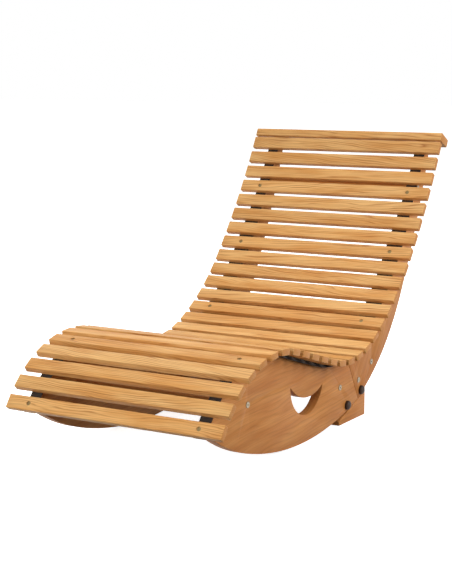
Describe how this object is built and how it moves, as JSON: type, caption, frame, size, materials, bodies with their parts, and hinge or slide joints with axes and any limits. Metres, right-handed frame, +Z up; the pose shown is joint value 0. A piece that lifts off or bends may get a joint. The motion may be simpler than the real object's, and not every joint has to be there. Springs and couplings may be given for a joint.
{
  "type": "rocking lounger",
  "caption": "Rocking lounger of wood: slats on webbing follow an S-shaped seat line across two arc-footed side frames with crescent cut-outs; stop blocks set how far it leans back.",
  "frame": {"origin": "floor level, under the middle of the chair's length and width", "axes": "+Z up, -Y the way the sitter faces, +X the sitter's left side"},
  "size_m": [0.6, 1.2556, 0.7412],
  "materials": {
    "slat_wood": "oiled light hardwood with open grain",
    "frame_wood": "oiled reddish-brown hardwood",
    "dowel_wood": "plain turned beech",
    "webbing": "woven black webbing",
    "zinc_steel": "zinc-plated",
    "black_plastic": "moulded, satin"
  },
  "bodies": {
    "root": {"slat_01": "slat_wood", "slat_02": "slat_wood", "slat_03": "slat_wood", "slat_04": "slat_wood", "slat_05": "slat_wood", "slat_06": "slat_wood", "slat_07": "slat_wood", "slat_08": "slat_wood", "slat_09": "slat_wood", "slat_10": "slat_wood", "slat_11": "slat_wood", "slat_12": "slat_wood", "slat_13": "slat_wood", "slat_14": "slat_wood", "slat_15": "slat_wood", "slat_16": "slat_wood", "slat_17": "slat_wood", "slat_18": "slat_wood", "slat_19": "slat_wood", "slat_20": "slat_wood", "slat_21": "slat_wood", "slat_22": "slat_wood", "slat_23": "slat_wood", "slat_24": "slat_wood", "slat_25": "slat_wood", "slat_26": "slat_wood", "slat_27": "slat_wood", "slat_28": "slat_wood", "slat_29": "slat_wood", "slat_30": "slat_wood", "top_board": "slat_wood", "rocker_plate_left": "frame_wood", "rocker_plate_right": "frame_wood", "back_rail_left": "frame_wood", "back_rail_right": "frame_wood", "stop_block_left": "frame_wood", "stop_block_right": "frame_wood", "gusset_left": "frame_wood", "gusset_right": "frame_wood", "front_stretcher": "frame_wood", "seat_stretcher_front": "frame_wood", "seat_stretcher_rear": "frame_wood", "hip_stretcher": "frame_wood", "lumbar_stretcher": "frame_wood", "shoulder_stretcher": "frame_wood", "strap_left": "webbing", "strap_right": "webbing", "slat_screws": "zinc_steel", "top_board_screws": "zinc_steel", "connector_bolts": "zinc_steel", "barrel_nuts": "zinc_steel", "dowels": "dowel_wood", "frame_bolts": "zinc_steel", "bolt_washers": "zinc_steel", "bolt_nuts": "zinc_steel", "bolt_caps": "black_plastic", "stop_block_screws": "zinc_steel", "staples": "zinc_steel"}
  },
  "joints": []
}
